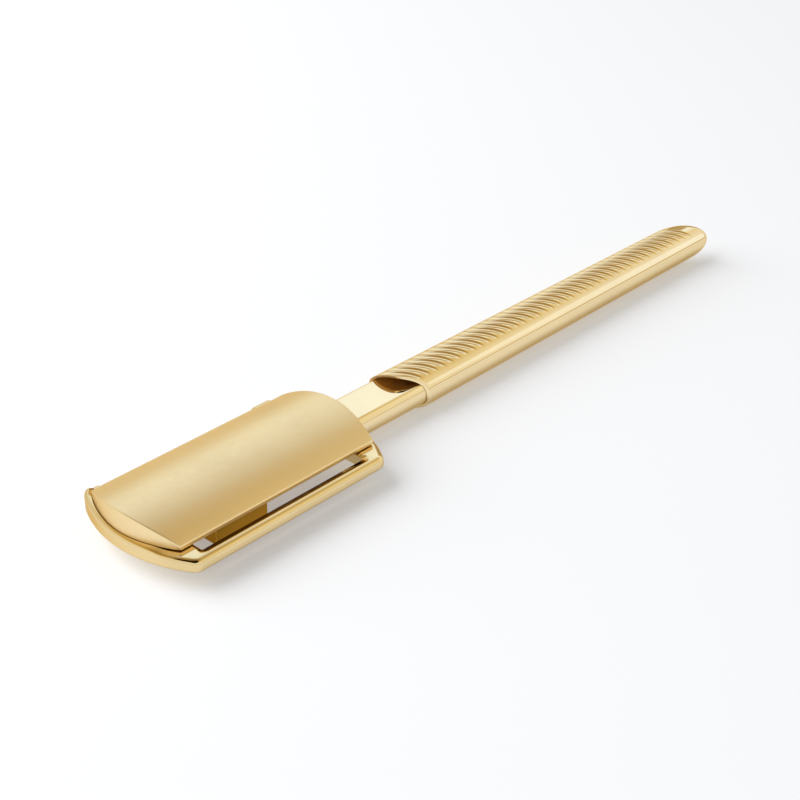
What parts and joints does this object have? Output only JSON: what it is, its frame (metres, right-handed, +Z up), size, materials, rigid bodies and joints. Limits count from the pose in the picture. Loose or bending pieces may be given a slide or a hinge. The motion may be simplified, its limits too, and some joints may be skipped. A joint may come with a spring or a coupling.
{
  "type": "hair shaping razor",
  "caption": "Hair shaping razor with a domed cap hinged over a slotted guard frame, a clamped blade under it and a long oval handle with slanting grip grooves.",
  "frame": {"origin": "under the middle of the whole razor, on the surface that the handle lies on", "axes": "+X along the razor from the cap to the handle's end, +Y towards the hinge side, +Z up through the domed cap"},
  "size_m": [0.2108, 0.037, 0.013],
  "materials": {
    "polished_gold": "mirror polished gold",
    "satin_gold": "bead-blasted satin gold",
    "clamp_brass": "brushed, darker brass",
    "blade_steel": "ground steel",
    "plain_steel": "turned steel",
    "magnet": "nickel plated"
  },
  "bodies": {
    "grip": {"head_frame": "polished_gold", "neck": "polished_gold", "handle": "polished_gold", "hinge_pin": "plain_steel", "hinge_washer_front": "plain_steel", "hinge_washer_rear": "plain_steel", "catch_magnet_front": "magnet", "catch_magnet_rear": "magnet", "grub_screw_front": "plain_steel", "grub_screw_rear": "plain_steel", "neck_screw_near": "plain_steel", "neck_screw_far": "plain_steel"},
    "lid": {"cap": "satin_gold", "blade": "blade_steel", "blade_clamp": "clamp_brass", "clamp_screw_front": "plain_steel", "clamp_screw_rear": "plain_steel", "blade_pin_front": "plain_steel", "blade_pin_rear": "plain_steel", "catch_keeper_front": "plain_steel", "catch_keeper_rear": "plain_steel"}
  },
  "joints": [
    {"name": "cap_hinge", "type": "hinge", "parent": "grip", "child": "lid", "pos_m": [-0.07343, 0.01707, 0.00605], "axis": [-1, 0, 0], "range_deg": [0, 110]}
  ]
}
